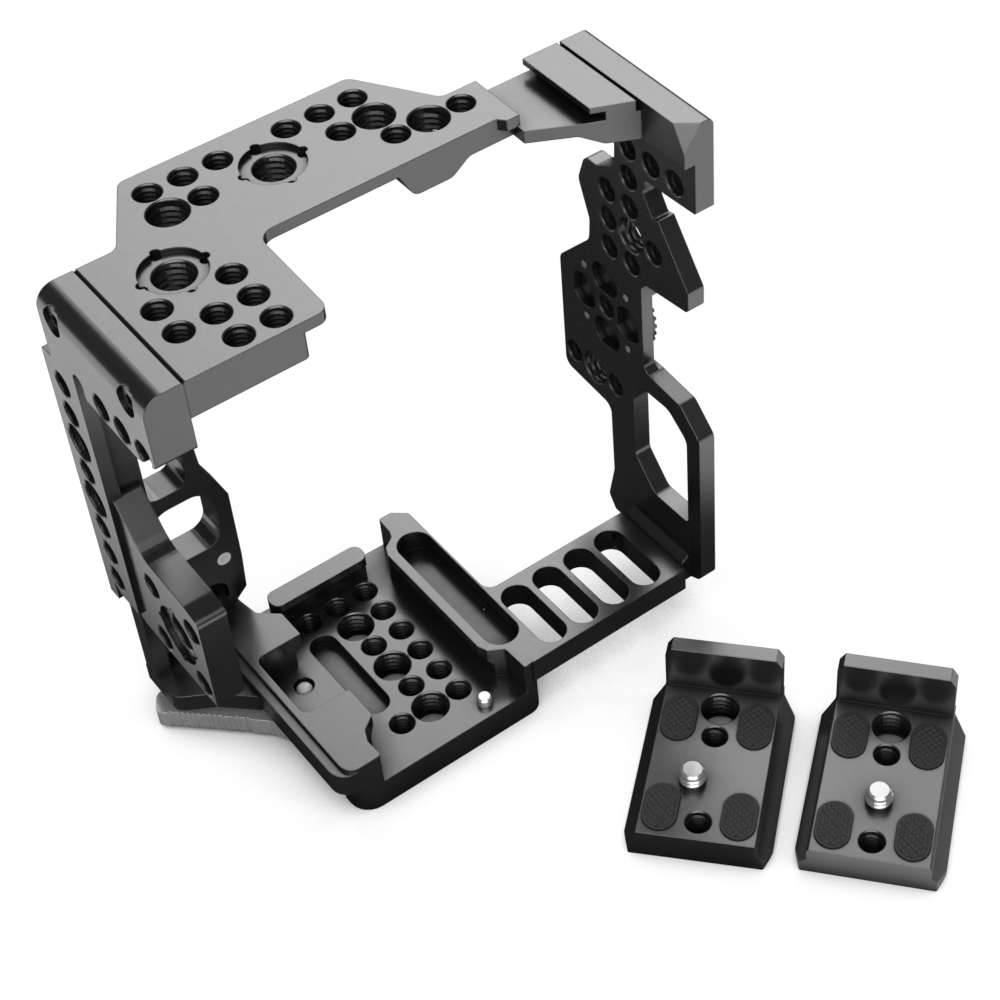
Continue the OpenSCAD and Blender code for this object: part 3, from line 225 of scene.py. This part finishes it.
BY_SLOT = {
    "black_anodised": ANODISED,
    "silver_alloy": SILVER,
    "steel": STEEL,
    "black_steel": BLACK_STEEL,
    "rubber_pad": RUBBER,
}
BLASTED = ("dome_pin", "flange_set_screw")
for sub in record["subparts"]:
    finish = PIN if sub["node"] in BLASTED else BY_SLOT[sub["material_slot"]]
    for place in nodes[sub["node"]].material_slots:
        place.material = finish

# ---------- pieces ----------


def make_object(name, bm, material, body):
    """A piece from a bmesh, riding on a body."""
    me = bpy.data.meshes.new(name)
    bm.to_mesh(me)
    bm.free()
    me.materials.append(material)
    o = bpy.data.objects.new(name, me)
    bpy.context.scene.collection.objects.link(o)
    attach(o, body)
    return o


def ridge_profile(root, crest, root_half, crest_half, fade):
    """Radius and height of a thread ridge's four corners; fade takes the crest down to nothing."""
    top = root + (crest - root) * fade
    return ((root, -root_half), (top, -crest_half), (top, crest_half), (root, root_half))


FADE_STEPS = 8                # a ridge runs out over this many steps
QUARTER_PITCH, THREE_EIGHTHS_PITCH = 1.27 * MM, 1.5875 * MM
QUARTER_MAX_R = 4 * MM        # larger holes have the 3/8 inch thread
HOLE_STEPS = 26
BURIED = 0.03 * MM            # how far a ridge's foot is sunk in the wall of the hole
RIDGE = 0.48 * MM
END_GAP = 0.1 * MM


def add_thread(bm, centre, axis, r, length, pitch):
    """One helical ridge on the wall of a hole, run out at both ends."""
    w = Vector(axis).normalized()
    u = w.orthogonal().normalized()
    v = w.cross(u)
    n = int((length - END_GAP - 0.92 * pitch) / pitch * HOLE_STEPS)
    if n < HOLE_STEPS // 2:
        return
    start = -(n / HOLE_STEPS) * pitch / 2
    last = None
    for i in range(n + 1):
        a = 2 * math.pi * i / HOLE_STEPS
        h = start + pitch * i / HOLE_STEPS
        fade = min(1, i / FADE_STEPS, (n - i) / FADE_STEPS)
        d = u * math.cos(a) + v * math.sin(a)
        crest = r - RIDGE * fade
        corners = ((r + BURIED, -0.46), (crest, -0.08), (crest, 0.08), (r + BURIED, 0.46))
        row = [bm.verts.new(centre + d * rr + w * (h + hh * pitch)) for rr, hh in corners]
        if last:
            for k in range(3):
                bm.faces.new((last[k], last[k + 1], row[k + 1], row[k]))
        last = row


threads = {"cage": bmesh.new(), "plate_a": bmesh.new(), "plate_b": bmesh.new()}
for m in record["mounts"]:
    if m["kind"] != "threaded_hole":
        continue
    body = m["name"][:7] if m["name"].startswith("plate_") else "cage"
    r = m["dims"]["r_mm"] * MM
    length = m["dims"]["length_mm"] * MM
    axis = Vector(m["axis"])
    centre = Vector(m["pos_m"])
    if m["name"] == "tripod_socket":
        centre = centre - axis * length / 2
    pitch = QUARTER_PITCH if r < QUARTER_MAX_R else THREE_EIGHTHS_PITCH
    add_thread(threads[body], centre, axis, r, length, pitch)
for body, bm in threads.items():
    o = make_object(body + "_threads", bm, THREAD, body)
    for f in o.data.polygons:
        f.use_smooth = False

# The loose plates: body, place in mm, turn in degrees, and the camera screw's place across the plate
PLATES = (("plate_a", (44.8, -78.9), 41.6 - 90, -3.4), ("plate_b", (74.7, -111.2), 39.7 - 90, 0.0))
STUD_Y = -6
STUD_STEPS = 28
STUD_LOW, STUD_THREAD = 9.4 * MM, 3.2 * MM
STUD_ROOT, STUD_RIDGE = 3.08, 0.42    # mm


def on_plate(place, turned, x, y):
    """A plate's own x and y in mm, as the frame's x and y in mm."""
    c, s = math.cos(math.radians(turned)), math.sin(math.radians(turned))
    return place[0] + c * x - s * y, place[1] + s * x + c * y


# Camera screws: the thread on each stud
for body, place, turned, stud_x in PLATES:
    x, y = on_plate(place, turned, stud_x, STUD_Y)
    bm = bmesh.new()
    n = int(STUD_THREAD / QUARTER_PITCH * STUD_STEPS)
    last = None
    for i in range(n + 1):
        a = 2 * math.pi * i / STUD_STEPS
        fade = min(1, i / FADE_STEPS, (n - i) / FADE_STEPS)
        crest = STUD_ROOT + STUD_RIDGE * fade
        corners = ((STUD_ROOT, -0.44), (crest, -0.06), (crest, 0.06), (STUD_ROOT, 0.44))
        row = [bm.verts.new(((x + rr * math.cos(a)) * MM, (y + rr * math.sin(a)) * MM,
                             STUD_LOW + QUARTER_PITCH * (i / STUD_STEPS + hh))) for rr, hh in corners]
        if last:
            for k in range(3):
                bm.faces.new((last[k], row[k], row[k + 1], last[k + 1]))
        last = row
    make_object(body + "_stud_thread", bm, STEEL, body + "_stud")

# Rubber pads: the moulded diamond pattern on each one. Lengths in mm
PADS = ((-10, 13), (10, 13), (-10, -15.6), (10, -15.6))
PAD_TOP = 9.5
PAD_RIM = 0.55
PAD_HALF_L, PAD_HALF_W = 7.1 - PAD_RIM, 4.4 - PAD_RIM
GRID_STEP = 0.2
DIAMOND = 1.35
GROOVE = 0.22                 # half a groove's width, as a share of a diamond
RELIEF = 0.3
GROOVE_FLOOR = PAD_TOP - 0.02


def pad_height(x, y):
    """The pattern's height at a place on a pad."""
    a = ((x + y) / math.sqrt(2) / DIAMOND) % 1
    b = ((x - y) / math.sqrt(2) / DIAMOND) % 1
    return GROOVE_FLOOR + RELIEF * min(1.0, min(a, 1 - a, b, 1 - b) / GROOVE)


for body, place, turned, stud_x in PLATES:
    for k, (px, py) in enumerate(PADS, 1):
        bm = bmesh.new()
        grid = {}
        for i in range(int(2 * PAD_HALF_W / GRID_STEP) + 1):
            for j in range(int(2 * PAD_HALF_L / GRID_STEP) + 1):
                lx, ly = -PAD_HALF_W + GRID_STEP * i, -PAD_HALF_L + GRID_STEP * j
                past_middle = max(0.0, abs(ly) - (PAD_HALF_L - PAD_HALF_W))
                if math.hypot(lx, past_middle) > PAD_HALF_W:
                    continue
                x, y = on_plate(place, turned, px + lx, py + ly)
                grid[i, j] = bm.verts.new((x * MM, y * MM, pad_height(lx, ly) * MM))
        for i, j in grid:
            square = [grid.get(e) for e in ((i, j), (i + 1, j), (i + 1, j + 1), (i, j + 1))]
            if None not in square:
                bm.faces.new(square)
        make_object(f"{body}_pad_{k}_pattern", bm, RUBBER, body)

# ---------- floor ----------

FLOOR_HALF = 3
FLOOR_Z = -0.00005
SHADOW_REACH = 0.03
PAPER_SHARE = 0.92            # of the paper that the camera sees, the share that glows white under its painted shadow
MIRROR_REACH = 0.1
AHEAD = (0.6, -1.0, 0.0)      # towards the front right

bm = bmesh.new()
bmesh.ops.create_grid(bm, x_segments=1, y_segments=1, size=FLOOR_HALF)
me = bpy.data.meshes.new("floor")
bm.to_mesh(me)
bm.free()
floor = bpy.data.objects.new("floor", me)
floor.location = (0, 0, FLOOR_Z)
bpy.context.scene.collection.objects.link(floor)
material, t, out = new_material("floor")
path = t.nodes.new("ShaderNodeLightPath")

# What the camera sees of the paper: white, with a painted soft shadow close under the pieces, in both its glow
# and its colour
painted_paper_shadow = map_range(t, openness(t, 8, SHADOW_REACH), (0.15, 0.7), (0.01, 1.04))
glow = t.nodes.new("ShaderNodeEmission")
glow.inputs["Color"].default_value = (1, 1, 1, 1)
t.links.new(painted_paper_shadow, glow.inputs["Strength"])
paper = t.nodes.new("ShaderNodeBsdfDiffuse")
t.links.new(colour_mix(t, painted_paper_shadow, (0.02, 0.02, 0.02), (0.95, 0.95, 0.95)), paper.inputs["Color"])
seen = t.nodes.new("ShaderNodeMixShader")
t.links.new(math_node(t, "MULTIPLY", path.outputs["Is Camera Ray"], PAPER_SHARE), seen.inputs["Fac"])
t.links.new(paper.outputs["BSDF"], seen.inputs[1])
t.links.new(glow.outputs["Emission"], seen.inputs[2])

# Painted reflection: what the metal mirrors of the paper is light behind on the left and to the front right,
# dark elsewhere
spot = object_coord(t)
xyz = t.nodes.new("ShaderNodeSeparateXYZ")
t.links.new(spot, xyz.inputs[0])
left = map_range(t, xyz.outputs["X"], (-0.08, -0.10), (0.05, 1.05), smooth=True)
behind = map_range(t, xyz.outputs["Y"], (-0.02, 0.02), (0.05, 1.0), smooth=True)
front = map_range(t, dot(t, spot, AHEAD), (0.125, 0.15), (0.05, 0.85), smooth=True)
patches = math_node(t, "MAXIMUM", math_node(t, "MULTIPLY", left, behind), front)
# Painted shade in that reflection: the mirrored paper is dimmer close to the pieces
clear = map_range(t, openness(t, 8, MIRROR_REACH), (0.3, 0.8), (0.1, 1.0))
painted_floor_reflection = t.nodes.new("ShaderNodeEmission")
t.links.new(math_node(t, "MULTIPLY", clear, patches), painted_floor_reflection.inputs["Strength"])
both = t.nodes.new("ShaderNodeMixShader")
t.links.new(path.outputs["Is Glossy Ray"], both.inputs["Fac"])
t.links.new(seen.outputs["Shader"], both.inputs[1])
t.links.new(painted_floor_reflection.outputs["Emission"], both.inputs[2])
t.links.new(both.outputs["Shader"], out.inputs["Surface"])
floor.data.materials.append(material)

# ---------- world ----------

# Soft patches of sky: direction, the cosines at which each begins and is full, and strength.
# The first is behind the cage, which the top plate mirrors; the second is over the camera and lights the paper
# and the pins; the third is what the loose plates mirror.
PATCHES = (
    ((0.45, 0.75, 0.48), (0.86, 1.0), 2.8),
    ((-0.42, -0.57, 0.70), (0.72, 0.95), 2.9),
    ((0.45, 0.40, 0.80), (0.92, 1.0), 1.3),
)
DIM_SKY = 0.08
CAMERA_SKY = 1.25             # white, as the background's own colour is 0.8

world = bpy.data.worlds.new("studio")
bpy.context.scene.world = world
world.use_nodes = True
t = world.node_tree
t.nodes.clear()
out = t.nodes.new("ShaderNodeOutputWorld")
background = t.nodes.new("ShaderNodeBackground")
coord = t.nodes.new("ShaderNodeTexCoord").outputs["Generated"]
sky = None
for direction, cosines, strength in PATCHES:
    along = dot(t, coord, Vector(direction).normalized())
    patch = map_range(t, along, cosines, (0, strength), smooth=True)
    sky = patch if sky is None else math_node(t, "ADD", sky, patch)
sky = math_node(t, "ADD", sky, DIM_SKY)
path = t.nodes.new("ShaderNodeLightPath")
level = t.nodes.new("ShaderNodeMix")
level.data_type = "FLOAT"
level.inputs["B"].default_value = CAMERA_SKY
t.links.new(path.outputs["Is Camera Ray"], level.inputs["Factor"])
t.links.new(sky, level.inputs["A"])
t.links.new(level.outputs["Result"], background.inputs["Strength"])
t.links.new(background.outputs["Background"], out.inputs["Surface"])
